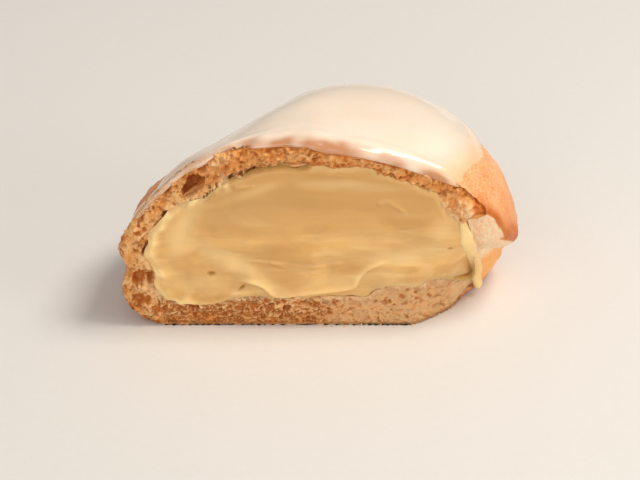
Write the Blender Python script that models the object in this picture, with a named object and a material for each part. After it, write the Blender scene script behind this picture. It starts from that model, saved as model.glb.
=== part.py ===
"""A cream puff cut open: a choux shell with a flat base, filled with custard and covered in poured icing.

The whole puff is one round form, described by how far it reaches in each direction from its own axis.
The shell, the hollow, the filling and the icing are that form drawn further out or further in.
One knife cut, flat across the front and curving back at the lower right, takes the front off all three.
Metres, +Z up. The cut face looks along -Y, and the origin is under the middle of the piece.
"""

import math

import bmesh
import bpy

MM = 0.001
QUARTER = math.pi / 2.0

# The round form, measured from its own axis.
REACH = {"right": 47.4 * MM, "back": 45.0 * MM, "left": 49.5 * MM, "front": 58.0 * MM}
FULLNESS = {"right": 2.4, "back": 1.85, "left": 1.32, "front": 3.4}  # 2 is an ellipse, more is squarer
BASE_FULLNESS = {"right": 4.5, "back": 3.5, "left": 3.4, "front": 3.4}
REACH_LEAN = {"front": 9.0 * MM, "back": 1.2 * MM}  # longer at the front left and the back right
FULLNESS_LEAN = {"front": 0.74, "back": 0.4}
LEAN_PEAK = 1.3  # brings the highest value of a lean to its named size
SUMMIT_FULLNESS = 2.0  # whatever the direction, so that the top is smooth
SUMMIT_SHARPNESS = 14.0  # more keeps this nearer the very top
BASE_DEPTH = 1.18  # the lower half would run this far down, and the base cuts it flat
SHELL_HEIGHT = 48.2 * MM
WIDEST_HEIGHT = 15.4 * MM
SUMMIT_ASIDE = -2.0 * MM

# The foot stands in from the cap above it, with a pinch between the two.
FOOT_SHARE = {"right": 0.0, "back": 0.6, "left": 1.0, "front": 1.0}
FOOT_INSET = 2.6 * MM
FOOT_TOP = 26.0 * MM
FOOT_FULL = 14.0 * MM
PINCH_HEIGHT = 15.0 * MM
PINCH_SPREAD = 3.2 * MM
PINCH_DEPTH = 1.7 * MM

# The cap rolls out low at the right and the back.
ROLL = {"right": 2.6 * MM, "back": 1.0 * MM, "left": 0.0, "front": 0.0}
ROLL_HEIGHT = 13.0 * MM
ROLL_SPREAD = 9.0 * MM

# The right side burst in the oven: under a slanting lip of the cap it sank in.
BURST_TURN = math.radians(-7.0)
BURST_TO_FRONT = math.radians(36.0)
BURST_TO_BACK = math.radians(28.0)
BURST_DEPTH = 10.8 * MM
BURST_TOP = 18.7 * MM  # of the lip, straight to the right
BURST_SLANT = 31.0 * MM  # drop of the lip for each radian towards the back
BURST_LIP = 5.2 * MM
BURST_LIP_INSIDE = 16.0 * MM  # the hollow follows the lip from higher up, and more gently

# The knife cut. Distances across are from the form's axis.
CUT_DISTANCE = 15.0 * MM  # from the form's axis to the flat part of the cut
CURVE_START = 21.4 * MM
CURVE_WIDTH = 16.0 * MM
CURVE_DEPTH = 16.0 * MM
CURVE_POWER = 1.4
CURVE_TOP = 23.0 * MM
CURVE_END = CURVE_START + CURVE_WIDTH
CUTTER_SIDE = 80.0 * MM
CUTTER_BELOW = 20.0 * MM
CUTTER_COLUMNS = 12
CUTTER_ROWS = 8

# Walls, filling and icing.
WALL = {"right": 2.6 * MM, "back": 7.0 * MM, "left": 6.6 * MM, "front": 6.6 * MM}
ROOF = 5.2 * MM
FLOOR = 7.8 * MM
FLOOR_STEP = 3.0 * MM  # the floor stands this much higher at the right
STEP_START = 9.4 * MM
STEP_WIDTH = 8.0 * MM
GAP = 0.3 * MM
ICING_THICKNESS = {"right": 1.5 * MM, "back": 1.6 * MM, "left": 0.9 * MM, "front": 1.7 * MM}
ICING_EDGE = 3.0 * MM  # height over which the icing's rim rounds off
ICING_LOW = {"right": 36.0 * MM, "back": 31.0 * MM, "left": 26.5 * MM, "front": 31.0 * MM}
ICING_WAVE = 1.5 * MM
ICING_WAVES = 4
ICING_WAVE_TURN = math.radians(186.0)

# Where the form's axis stands, so that the origin is under the middle of the cut piece.
AXIS_X = -0.7 * MM
AXIS_Y = -14.6 * MM

AROUND = 60
UPWARD = 32
CROWDING = 1.3  # more than 1 brings the rows of points closer together near the widest height
TO_RIGHT = 0.35  # more than 0 brings the columns closer together at the right

CHOUX_COLOUR = (0.72, 0.40, 0.17)
CUSTARD_COLOUR = (0.80, 0.58, 0.22)
ICING_COLOUR = (0.93, 0.80, 0.62)

COLLECTION = "cream_puff"
CUTTERS = "cutters"


def clear_scene():
    for item in list(bpy.data.objects):
        bpy.data.objects.remove(item, do_unlink=True)
    for name in ("Collection", COLLECTION, CUTTERS):
        if name in bpy.data.collections:
            bpy.data.collections.remove(bpy.data.collections[name])


def collection(name):
    made = bpy.data.collections.new(name)
    bpy.context.scene.collection.children.link(made)
    return made


def material(name, colour, roughness, metallic=0.0):
    made = bpy.data.materials.new(name)
    made.use_nodes = True
    shader = made.node_tree.nodes["Principled BSDF"]
    shader.inputs["Base Color"].default_value = (*colour, 1.0)
    shader.inputs["Roughness"].default_value = roughness
    shader.inputs["Metallic"].default_value = metallic
    return made


def ease(share):
    """0 below 0, 1 above 1 and a smooth step between."""
    share = min(max(share, 0.0), 1.0)
    return share * share * (3.0 - 2.0 * share)


def by_side(values, azimuth):
    """The value for this direction, blended from those at the right, back, left and front."""
    across = math.cos(azimuth)
    along = math.sin(azimuth)
    return (
        values["right"] * max(across, 0.0) ** 2
        + values["left"] * max(-across, 0.0) ** 2
        + values["back"] * max(along, 0.0) ** 2
        + values["front"] * max(-along, 0.0) ** 2
    )


def lean(values, azimuth):
    """More at the front left and the back right, less on the other diagonal."""
    half = values["front"] if math.sin(azimuth) < 0.0 else values["back"]
    return half * LEAN_PEAK * math.sin(2.0 * azimuth) * abs(math.sin(azimuth))


def swell(height, middle, spread):
    """1 at its middle height, fading above and below."""
    return math.exp(-(((height - middle) / spread) ** 2))


def drawn_in(azimuth, height, lip_drop):
    """How far the foot, the pinch and the burst stand in from the cap here, less its roll outwards."""
    foot = FOOT_INSET * ease((FOOT_TOP - height) / (FOOT_TOP - FOOT_FULL))
    pinch = PINCH_DEPTH * swell(height, PINCH_HEIGHT, PINCH_SPREAD)
    roll = by_side(ROLL, azimuth) * swell(height, ROLL_HEIGHT, ROLL_SPREAD)
    turn = math.remainder(azimuth - BURST_TURN, math.tau)
    aside = ease(1.0 - abs(turn) / (BURST_TO_BACK if turn > 0.0 else BURST_TO_FRONT))
    lip = BURST_TOP - BURST_SLANT * math.remainder(azimuth, math.tau) + lip_drop - BURST_LIP
    burst = BURST_DEPTH * aside * ease((lip - height) / lip_drop)
    return by_side(FOOT_SHARE, azimuth) * (foot + pinch) + burst - roll


def form_point(azimuth, latitude, wall=0.0, roof=0.0, floor=0.0, lip_drop=BURST_LIP):
    """A point of the form, drawn in by a wall, a roof and a floor. Negative ones draw it out."""
    lift = abs(math.sin(latitude))
    spread = max(math.cos(latitude), 0.0)
    aside = 0.0
    if latitude >= 0.0:
        fullness = by_side(FULLNESS, azimuth) + lean(FULLNESS_LEAN, azimuth)
        fullness += (SUMMIT_FULLNESS - fullness) * lift**SUMMIT_SHARPNESS
        rise = lift ** (2.0 / fullness)
        height = WIDEST_HEIGHT + (SHELL_HEIGHT - WIDEST_HEIGHT - roof) * rise
        aside = SUMMIT_ASIDE * rise * rise
    else:
        fullness = by_side(BASE_FULLNESS, azimuth)
        height = WIDEST_HEIGHT - BASE_DEPTH * (WIDEST_HEIGHT - floor) * lift ** (2.0 / fullness)
    reach = by_side(REACH, azimuth) + lean(REACH_LEAN, azimuth) - wall
    distance = (reach - drawn_in(azimuth, height, lip_drop)) * spread ** (2.0 / fullness)
    across = distance * math.cos(azimuth) + aside
    along = distance * math.sin(azimuth)
    step = FLOOR_STEP * ease((across - STEP_START) / STEP_WIDTH) if floor > 0.0 else 0.0
    return (AXIS_X + across, AXIS_Y + along, max(height, floor + step))


def crust(azimuth, latitude):
    return form_point(azimuth, latitude)


def hollow(azimuth, latitude):
    return form_point(azimuth, latitude, by_side(WALL, azimuth), ROOF, FLOOR, BURST_LIP_INSIDE)


def icing_rise(azimuth, height):
    """How far the icing's face stands off the crust. Past its wavy lower edge it dips under the crust."""
    wave = ICING_WAVE * math.sin(ICING_WAVES * azimuth + ICING_WAVE_TURN)
    edge = by_side(ICING_LOW, azimuth) + wave
    share = min(max((height - edge) / ICING_EDGE, -1.0), 1.0)
    return GAP + by_side(ICING_THICKNESS, azimuth) * math.sin(share * QUARTER)


def round_body(name, point, home, finish=None, rise=None):
    """A closed body whose surface is point(azimuth, latitude), moved out by rise(azimuth, height)."""
    mesh = bpy.data.meshes.new(name)
    ball = bmesh.new()
    bmesh.ops.create_uvsphere(ball, u_segments=AROUND, v_segments=UPWARD, radius=1.0)
    azimuths = {}
    for vertex in ball.verts:
        azimuth = math.atan2(vertex.co.y, vertex.co.x)
        azimuths[vertex] = azimuth - TO_RIGHT * math.sin(azimuth)
        share = math.asin(min(max(vertex.co.z, -1.0), 1.0)) / QUARTER
        latitude = math.copysign(QUARTER * abs(share) ** CROWDING, share)
        vertex.co = point(azimuths[vertex], latitude)
    bmesh.ops.triangulate(ball, faces=ball.faces[:], quad_method="FIXED")
    bmesh.ops.recalc_face_normals(ball, faces=ball.faces)
    if rise:
        ball.normal_update()
        moves = {vertex: vertex.normal * rise(azimuths[vertex], vertex.co.z) for vertex in ball.verts}
        for vertex, move in moves.items():
            vertex.co += move
    ball.to_mesh(mesh)
    ball.free()
    mesh.shade_smooth()
    body = bpy.data.objects.new(name, mesh)
    home.objects.link(body)
    if finish:
        mesh.materials.append(finish)
    return body


def as_cutter(body):
    body.hide_render = True
    body.display_type = "WIRE"
    return body


def cut_line(across, height):
    """How far behind its flat part the cut surface lies here. It curves back low at the right."""
    share = min(max((across - CURVE_START) / CURVE_WIDTH, 0.0), 1.0)
    below = 1.0 - min(max(height / CURVE_TOP, 0.0), 1.0) ** 2
    return CURVE_DEPTH * share**CURVE_POWER * below


def spaced(index, count, before, first, last, after):
    """Grid lines: one far before the part that bends, the rest evenly over it, one far after."""
    if index == 0:
        return before
    if index == count:
        return after
    return first + (last - first) * (index - 1) / (count - 2)


def knife_body(home):
    """All that the cut takes away: a block whose back face is the cut surface."""
    mesh = bpy.data.meshes.new("knife")
    block = bmesh.new()
    bmesh.ops.create_grid(block, x_segments=CUTTER_COLUMNS, y_segments=CUTTER_ROWS, size=1.0)
    for vertex in block.verts:
        column = round((vertex.co.x + 1.0) / 2.0 * CUTTER_COLUMNS)
        row = round((vertex.co.y + 1.0) / 2.0 * CUTTER_ROWS)
        across = spaced(column, CUTTER_COLUMNS, -CUTTER_SIDE, CURVE_START, CURVE_END, CUTTER_SIDE)
        height = spaced(row, CUTTER_ROWS, -CUTTER_BELOW, 0.0, CURVE_TOP, CUTTER_SIDE)
        vertex.co = (AXIS_X + across, AXIS_Y - CUT_DISTANCE + cut_line(across, height), height)
    front = bmesh.ops.extrude_face_region(block, geom=block.faces[:])["geom"]
    moved = [item for item in front if isinstance(item, bmesh.types.BMVert)]
    for vertex in moved:
        vertex.co.y = AXIS_Y - CUTTER_SIDE
    bmesh.ops.recalc_face_normals(block, faces=block.faces)
    block.to_mesh(mesh)
    block.free()
    body = bpy.data.objects.new("knife", mesh)
    home.objects.link(body)
    return as_cutter(body)


def take_away(body, *cutters):
    for cutter in cutters:
        cut = body.modifiers.new("without_" + cutter.name, "BOOLEAN")
        cut.operation = "DIFFERENCE"
        cut.solver = "EXACT"
        cut.object = cutter


def gap_out(azimuth, height):
    return GAP


def gap_in(azimuth, height):
    return -GAP


def main():
    clear_scene()
    parts = collection(COLLECTION)
    cutters = collection(CUTTERS)
    knife = knife_body(cutters)
    inside = as_cutter(round_body("hollow", hollow, cutters))
    bed = as_cutter(round_body("icing_bed", crust, cutters, rise=gap_out))

    shell = round_body("choux_shell", crust, parts, material("choux", CHOUX_COLOUR, 0.65))
    take_away(shell, knife, inside)

    custard = round_body(
        "custard", hollow, parts, material("custard", CUSTARD_COLOUR, 0.3), rise=gap_in
    )
    take_away(custard, knife)

    icing = round_body("icing", crust, parts, material("icing", ICING_COLOUR, 0.15), rise=icing_rise)
    take_away(icing, bed, knife)


main()
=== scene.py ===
"""The looks of a cream puff cut open: baked choux, custard, poured icing, crumbs and a small studio.

Every piece is worked out from the same round form as the solids it stands for.
Metres, +Z up. The cut looks along -Y, and the origin is under the middle of the puff.
"""

import math
import random
from types import SimpleNamespace

import bmesh
import bpy
import numpy as np
from bpy.props import FloatProperty, FloatVectorProperty, IntProperty, PointerProperty
from bpy.types import Operator, Panel, PropertyGroup
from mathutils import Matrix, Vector, noise
from mathutils.kdtree import KDTree


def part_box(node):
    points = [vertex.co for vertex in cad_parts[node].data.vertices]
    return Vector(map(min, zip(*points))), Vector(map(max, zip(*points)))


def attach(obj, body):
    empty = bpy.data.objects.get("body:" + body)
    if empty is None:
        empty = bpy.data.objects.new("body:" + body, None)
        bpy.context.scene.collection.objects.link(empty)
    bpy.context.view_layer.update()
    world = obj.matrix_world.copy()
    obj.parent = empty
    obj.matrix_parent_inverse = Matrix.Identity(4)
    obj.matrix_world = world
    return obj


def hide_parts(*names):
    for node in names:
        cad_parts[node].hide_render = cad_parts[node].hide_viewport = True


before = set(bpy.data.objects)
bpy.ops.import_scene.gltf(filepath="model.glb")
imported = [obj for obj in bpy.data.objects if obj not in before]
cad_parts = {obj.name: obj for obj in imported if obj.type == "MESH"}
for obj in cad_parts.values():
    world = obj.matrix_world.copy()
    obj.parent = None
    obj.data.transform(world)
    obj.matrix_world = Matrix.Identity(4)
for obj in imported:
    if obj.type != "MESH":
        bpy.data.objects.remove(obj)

bl_info = {
    "name": "Cream puff",
    "version": (1, 0, 0),
    "blender": (4, 5, 0),
    "location": "View3D > Sidebar > Cream puff",
    "description": "Makes a cream puff cut open, with its custard, icing and crumbs",
    "category": "Object",
}

MM = 0.001
QUARTER = math.pi / 2.0
BODY = "root"
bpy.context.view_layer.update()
SHELL_LOW, SHELL_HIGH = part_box("choux_shell")

# Each ball's points around and upwards, and how much they crowd to the right and to the middle height.
CHOUX_BALL = ((384, 190, 0.3, 1.15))
HOLLOW_BALL = (96, 60, 0.3, 1.3)
CUSTARD_BALL = (160, 100, 0.3, 1.3)
RIDGE_BALL = (28, 120, 0.0, 1.0)
ICING_BALL = (400, 150, 0.0, 1.0)


def sides(right, back, left, front, unit=1.0):
    """A value for each side, for by_side to blend."""
    return {"right": right * unit, "back": back * unit, "left": left * unit, "front": front * unit}


# The round form, measured from its own axis, as the solids have it.
REACH = sides(47.4, 45.0, 49.5, 58.0, MM)
FULLNESS = sides(2.4, 1.85, 1.32, 3.4)
BASE_FULLNESS = sides(4.5, 3.5, 3.4, 3.4)
REACH_LEAN = {"front": 9.0 * MM, "back": 1.2 * MM}
FULLNESS_LEAN = {"front": 0.74, "back": 0.4}
LEAN_PEAK = 1.3
SUMMIT_FULLNESS = 2.0
SUMMIT_SHARPNESS = 14.0
BASE_DEPTH = 1.18
SHELL_HEIGHT = SHELL_HIGH.z
WIDEST_HEIGHT = 15.4 * MM
SUMMIT_ASIDE = -2.0 * MM
FOOT_SHARE = sides(0.0, 0.6, 1.0, 1.0)
FOOT_INSET = 2.6 * MM
FOOT_TOP = 26.0 * MM
FOOT_FULL = 14.0 * MM
PINCH_HEIGHT = 15.0 * MM
PINCH_SPREAD = 3.2 * MM
PINCH_DEPTH = 1.7 * MM
ROLL = sides(0.5, 0.8, 0.0, 0.0, MM)
ROLL_HEIGHT = 13.0 * MM
ROLL_SPREAD = 9.0 * MM
AXIS_X = -0.7 * MM
AXIS_Y = -14.6 * MM
MIDDLE_HEIGHT = 20.0 * MM
SKIN_BROWNING = sides(0.0, 0.35, 0.4, 0.0)
WRINKLES = 20.0  # for each radian around
WRINKLE_HEIGHT = 5.0 * MM

# The burst at the right, under the torn lip of the cap.
BURST_TURN = math.radians(-7.0)
BURST_TO_FRONT = math.radians(36.0)
BURST_TO_BACK = math.radians(28.0)
BURST_DEPTH = 8.4 * MM
LIP_HEIGHT = 15.2 * MM
LIP_SLANT = 26.0 * MM  # drop of the lip for each radian towards the back
LIP_ROUND = 1.8 * MM
LIP_ROLL = 1.5 * MM  # how far the cap rolls in above its lip, and over what height
LIP_ROLL_HEIGHT = 2.6 * MM
ARCH_RISE = 8.3 * MM
ARCH_TURN = math.radians(-16.3)
ARCH_SPREAD = math.radians(8.0)
ARCH_TOP = 31.0 * MM
ARCH_ROUND = 4.0 * MM
LIP_CLOSENESS = 0.65  # how much closer to the lip the rows of points stand
LIP_CROWDING = math.radians(12.0)
LIP_FOLLOWING = math.radians(65.0)
HOLLOW_LIP = 29.5 * MM
HOLLOW_SLANT = 31.0 * MM
HOLLOW_LIP_ROUND = 16.0 * MM

# The knife cut.
CUT_Y = SHELL_LOW.y
CURVE_START = 21.4 * MM
CURVE_WIDTH = 16.0 * MM
CURVE_DEPTH = 16.0 * MM
CURVE_POWER = 1.4
CURVE_TOP = 23.0 * MM
ON_CUT = 0.004 * MM  # points closer than this to the cut were left by the knife
ON_SKIN = 0.0001 * MM
KNIFE_STEP = 0.25 * MM
KNIFE_REACH = 51.0 * MM
KNIFE_TOP = 52.0 * MM
KNIFE_BELOW = 2.0 * MM
KNIFE_FRONT = 60.0 * MM

# Walls and filling.
WALL = sides(2.6, 7.0, 6.6, 6.6, MM)
ROOF = 5.2 * MM
FLOOR = 7.8 * MM
FLOOR_STEP = 3.0 * MM
STEP_START = 9.4 * MM
STEP_WIDTH = 8.0 * MM

# Lowest height of the icing.
ICING_LOW = sides(36.0, 31.0, 26.5, 31.0, MM)
ICING_WAVE = 1.5 * MM
ICING_WAVES = 4
ICING_WAVE_TURN = math.radians(186.0)

# Cavities in the crumb: across, up, half length, half width (mm), tilt in degrees, depth (mm).
CAVITIES = (
    (-30.7, 37.2, 3.0, 1.7, 48.0, 4.6),
    (-31.4, 39.6, 1.6, 0.9, 20.0, 1.6),
    (-28.3, 41.7, 1.1, 0.75, 20.0, 1.8),
    (-36.4, 36.2, 1.6, 0.55, 62.0, 1.8),
    (-37.2, 29.8, 0.9, 0.55, 66.0, 1.8),
    (-42.9, 28.6, 1.3, 0.45, 58.0, 1.4),
    (-41.5, 21.1, 2.1, 0.75, 62.0, 3.2),
    (-43.9, 12.9, 1.9, 1.3, 70.0, 2.6),
    (-41.0, 12.6, 1.5, 0.8, 96.0, 2.6),
    (-43.9, 7.2, 1.6, 1.3, -20.0, 2.4),
    (-41.9, 7.0, 1.3, 0.7, 80.0, 1.8),
    (-39.7, 4.5, 1.3, 0.8, -18.0, 1.6),
    (-37.7, 4.2, 0.9, 0.6, -60.0, 1.4),
    (-34.8, 4.9, 1.4, 0.75, -14.0, 1.8),
    (-31.0, 5.3, 1.8, 0.8, -28.0, 2.4),
    (-8.6, 4.6, 1.0, 0.75, 42.0, 2.0),
    (-3.6, 2.1, 0.6, 0.45, 60.0, 1.2),
    (-13.7, 6.7, 0.9, 0.45, 50.0, 1.2),
    (-19.5, 5.4, 0.8, 0.35, 15.0, 1.0),
    (-5.4, 3.1, 0.7, 0.45, 10.0, 1.2),
    (-12.6, 46.6, 0.9, 0.45, 8.0, 1.0),
    (-7.0, 47.0, 0.9, 0.5, 30.0, 1.0),
    (-1.4, 46.6, 0.9, 0.4, -10.0, 1.0),
    (27.1, 10.4, 0.8, 0.4, 30.0, 1.0),
    (34.4, 11.4, 0.6, 0.5, 0.0, 1.0),
)


def wrapped(angle):
    """The same angle between minus and plus half a turn."""
    return (angle + math.pi) % math.tau - math.pi


def ease(share):
    """0 below 0, 1 above 1 and a smooth step between."""
    share = np.clip(share, 0.0, 1.0)
    return share * share * (3.0 - 2.0 * share)


def past(value, start, width):
    """0 up to the start and 1 from a width beyond it. Both are in mm."""
    return ease((value / MM - start) / width)


def short_of(value, end, width):
    """1 until a width before the end and 0 from the end on. Both are in mm."""
    return ease((end - value / MM) / width)


def close_to(distance, reach):
    """1 at no distance, fading to 0 at the reach in mm."""
    return ease(1.0 - distance / MM / reach)


def by_side(values, azimuth):
    """The value for this direction, blended from those at the right, back, left and front."""
    across = np.cos(azimuth)
    along = np.sin(azimuth)
    return (
        values["right"] * np.maximum(across, 0.0) ** 2
        + values["left"] * np.maximum(-across, 0.0) ** 2
        + values["back"] * np.maximum(along, 0.0) ** 2
        + values["front"] * np.maximum(-along, 0.0) ** 2
    )


def lean(values, azimuth):
    """More at the front left and the back right, less on the other diagonal."""
    half = np.where(np.sin(azimuth) < 0.0, values["front"], values["back"])
    return half * LEAN_PEAK * np.sin(2.0 * azimuth) * np.abs(np.sin(azimuth))


def swell(value, middle, spread):
    """1 at its middle, fading on both sides."""
    return np.exp(-(((value - middle) / spread) ** 2))


def torn_lip(azimuth):
    """Lowest height of the cap: an arch at the cut, then a slant down towards the back."""
    turn = wrapped(azimuth)
    lip = LIP_HEIGHT - LIP_SLANT * turn + ARCH_RISE * ease(0.5 + (ARCH_TURN - turn) / ARCH_SPREAD)
    return (lip + ARCH_TOP - np.hypot(lip - ARCH_TOP, ARCH_ROUND)) / 2.0


def burst_aside(azimuth):
    """1 in the middle of the burst, fading to both its ends."""
    turn = wrapped(azimuth - BURST_TURN)
    reach = np.where(turn > 0.0, BURST_TO_BACK, BURST_TO_FRONT)
    return ease(1.0 - np.abs(turn) / reach)


def drawn_in(azimuth, height, lining):
    """How far the foot, the pinch and the burst stand in from the cap here, less its roll."""
    foot = FOOT_INSET * ease((FOOT_TOP - height) / (FOOT_TOP - FOOT_FULL))
    pinch = PINCH_DEPTH * swell(height, PINCH_HEIGHT, PINCH_SPREAD)
    roll = by_side(ROLL, azimuth) * swell(height, ROLL_HEIGHT, ROLL_SPREAD)
    if lining:
        lip = HOLLOW_LIP - HOLLOW_SLANT * wrapped(azimuth)
        under = (BURST_DEPTH + LIP_ROLL) * ease((lip - height) / HOLLOW_LIP_ROUND)
    else:
        lip = torn_lip(azimuth)
        under = BURST_DEPTH * ease((lip - height) / LIP_ROUND)
        under = under + LIP_ROLL * np.clip(1.0 - (height - lip) / LIP_ROLL_HEIGHT, 0.0, 1.0) ** 2
    burst = burst_aside(azimuth) * under
    return by_side(FOOT_SHARE, azimuth) * (foot + pinch) + burst - roll


def form_points(azimuth, latitude, lining=False):
    """Points of the form's skin, or of the lining of its hollow."""
    wall = by_side(WALL, azimuth) if lining else 0.0
    roof = ROOF if lining else 0.0
    floor = FLOOR if lining else 0.0
    upper = latitude >= 0.0
    lift = np.abs(np.sin(latitude))
    spread = np.maximum(np.cos(latitude), 0.0)
    full = by_side(FULLNESS, azimuth) + lean(FULLNESS_LEAN, azimuth)
    full = full + (SUMMIT_FULLNESS - full) * lift**SUMMIT_SHARPNESS
    full = np.where(upper, full, by_side(BASE_FULLNESS, azimuth))
    rise = lift ** (2.0 / full)
    above = WIDEST_HEIGHT + (SHELL_HEIGHT - WIDEST_HEIGHT - roof) * rise
    below = WIDEST_HEIGHT - BASE_DEPTH * (WIDEST_HEIGHT - floor) * rise
    height = np.where(upper, above, below)
    aside = np.where(upper, SUMMIT_ASIDE * rise * rise, 0.0)
    reach = by_side(REACH, azimuth) + lean(REACH_LEAN, azimuth) - wall
    distance = (reach - drawn_in(azimuth, height, lining)) * spread ** (2.0 / full)
    across = distance * np.cos(azimuth) + aside
    along = distance * np.sin(azimuth)
    step = FLOOR_STEP * ease((across - STEP_START) / STEP_WIDTH) if lining else 0.0
    height = np.maximum(height, floor + step)
    return np.stack([AXIS_X + across, AXIS_Y + along, height], axis=-1)


def cut_line(across, height):
    """How far behind its flat part the cut lies here. It curves back low at the right."""
    share = np.clip((across - AXIS_X - CURVE_START) / CURVE_WIDTH, 0.0, 1.0)
    below = 1.0 - np.clip(height / CURVE_TOP, 0.0, 1.0) ** 2
    return CURVE_DEPTH * share**CURVE_POWER * below


def cut_normals(across, height):
    """The directions in which the cut faces."""
    small = 0.1 * MM
    by_x = (cut_line(across + small, height) - cut_line(across - small, height)) / (2.0 * small)
    by_z = (cut_line(across, height + small) - cut_line(across, height - small)) / (2.0 * small)
    facing = np.stack([by_x, -np.ones_like(by_x), by_z], axis=-1)
    return facing / np.linalg.norm(facing, axis=-1, keepdims=True)


def ball_mesh(around, upward, to_right, to_middle):
    """A ball with the azimuth and latitude of each of its points."""
    ball = bmesh.new()
    bmesh.ops.create_uvsphere(ball, u_segments=around, v_segments=upward, radius=1.0)
    place = np.array([vertex.co for vertex in ball.verts])
    azimuth = np.arctan2(place[:, 1], place[:, 0])
    azimuth = azimuth - to_right * np.sin(azimuth)
    share = np.arcsin(np.clip(place[:, 2], -1.0, 1.0)) / QUARTER
    latitude = np.sign(share) * QUARTER * np.abs(share) ** to_middle
    return ball, azimuth, latitude


def set_points(points, places):
    """Moves each point to its place."""
    for vertex, place in zip(points, places):
        vertex.co = place


def set_places(body, places):
    """Moves all points of the body, and works out which way its faces look."""
    set_points(body.verts, places)
    body.normal_update()


def as_object(body, name):
    """The bmesh as a smooth-shaded object in the scene."""
    mesh = bpy.data.meshes.new(name)
    body.to_mesh(mesh)
    body.free()
    mesh.shade_smooth()
    made = bpy.data.objects.new(name, mesh)
    bpy.context.scene.collection.objects.link(made)
    return made


def knife_body():
    """All that the cut takes away. Its back face is a fine grid, which the cut surfaces keep."""
    columns = round(2.0 * KNIFE_REACH / KNIFE_STEP)
    rows = round((KNIFE_TOP + KNIFE_BELOW) / KNIFE_STEP)
    block = bmesh.new()
    bmesh.ops.create_grid(block, x_segments=columns, y_segments=rows, size=1.0)
    place = np.array([vertex.co for vertex in block.verts])
    across = place[:, 0] * KNIFE_REACH
    height = (place[:, 1] + 1.0) / 2.0 * (KNIFE_TOP + KNIFE_BELOW) - KNIFE_BELOW
    set_places(block, np.stack([across, CUT_Y + cut_line(across, height), height], axis=-1))
    outline = [edge for edge in block.edges if edge.is_boundary]
    walls = bmesh.ops.extrude_edge_only(block, edges=outline)["geom"]
    for item in walls:
        if isinstance(item, bmesh.types.BMVert):
            item.co.y = CUT_Y - KNIFE_FRONT
    bmesh.ops.contextual_create(block, geom=[edge for edge in block.edges if edge.is_boundary])
    bmesh.ops.recalc_face_normals(block, faces=block.faces)
    return as_object(block, "knife")


def cut_from(body, *cutters):
    """Takes the cutters away from the body and keeps the result as its mesh."""
    for cutter in cutters:
        cut = body.modifiers.new("cut", "BOOLEAN")
        cut.operation = "DIFFERENCE"
        cut.solver = "MANIFOLD"
        cut.object = cutter
    graph = bpy.context.evaluated_depsgraph_get()
    mesh = bpy.data.meshes.new_from_object(body.evaluated_get(graph))
    body.modifiers.clear()
    body.data = mesh
    return body


def throw_away(*bodies):
    """Removes what only served to make another piece."""
    for body in bodies:
        bpy.data.objects.remove(body, do_unlink=True)


def places_of(body):
    """Where the body's points are."""
    return np.array([vertex.co for vertex in body.verts])


def cut_surface(body):
    """The points that the knife left, and the loops of points that go round them, longest first."""
    body.verts.index_update()
    place = places_of(body)
    on_cut = np.abs(place[:, 1] - CUT_Y - cut_line(place[:, 0], place[:, 2])) < ON_CUT
    faces = {face for face in body.faces if all(on_cut[vertex.index] for vertex in face.verts)}
    links = {}
    for edge in body.edges:
        if sum(face in faces for face in edge.link_faces) == 1:
            first, second = edge.verts
            links.setdefault(first, []).append(second)
            links.setdefault(second, []).append(first)
    loops = []
    waiting = set(links)
    while waiting:
        loop = [waiting.pop()]
        for vertex in loop:
            fresh = [other for other in links[vertex] if other in waiting]
            waiting.difference_update(fresh)
            loop.extend(fresh)
        loops.append(loop)
    loops.sort(key=len, reverse=True)
    points = {vertex for face in faces for vertex in face.verts}
    return sorted(points, key=lambda vertex: vertex.index), loops


def away_from(points, places):
    """Distance from each place to the nearest of the points."""
    tree = KDTree(len(points))
    for index, point in enumerate(points):
        tree.insert(point, index)
    tree.balance()
    return np.array([tree.find(place)[2] for place in places])


def away_from_line(corners, across, height):
    """Distance in the plane of the cut to a line through the corners, given in mm."""
    ends = np.array(corners) * MM
    nearest = np.full(len(across), 1.0)
    for (x0, z0), (x1, z1) in zip(ends[:-1], ends[1:]):
        run = math.hypot(x1 - x0, z1 - z0)
        along = ((across - x0) * (x1 - x0) + (height - z0) * (z1 - z0)) / run
        along = np.clip(along, 0.0, run)
        aside = np.hypot(across - x0 - along * (x1 - x0) / run, height - z0 - along * (z1 - z0) / run)
        nearest = np.minimum(nearest, aside)
    return nearest


def through(corners, steps=8):
    """A smooth line through the corners."""
    ends = [corners[0], *corners, corners[-1]]
    points = []
    for before, first, second, after in zip(ends, ends[1:], ends[2:], ends[3:]):
        first, second = np.array(first), np.array(second)
        leave = (second - np.array(before)) / 2.0
        arrive = (np.array(after) - first) / 2.0
        for share in np.arange(steps) / steps:
            rest = 1.0 - share
            spot = first * (1.0 + 2.0 * share) * rest**2 + second * share**2 * (3.0 - 2.0 * share)
            points.append(spot + leave * share * rest**2 - arrive * rest * share**2)
    points.append(np.array(corners[-1], float))
    return np.array(points)


# How far the rim between custard and crumb wanders, and over what distance.
WANDER = 0.9 * MM
WANDER_SIZE = 3.4 * MM


def pulled(across, height, pulls):
    """The same points after soft pulls in the plane of the cut, each given in mm."""
    moved_x, moved_z = across.copy(), height.copy()
    for middle_x, middle_z, right, up, reach in pulls:
        away = np.hypot(across - middle_x * MM, height - middle_z * MM)
        share = np.exp(-((away / (reach * MM)) ** 2))
        moved_x += right * MM * share
        moved_z += up * MM * share
    flat = np.stack([across, np.zeros(len(across)), height], axis=-1)
    moved_x += WANDER * speckle(flat, WANDER_SIZE, layer=40.0)
    moved_z += WANDER * speckle(flat, WANDER_SIZE, layer=50.0)
    return moved_x, moved_z


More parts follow.
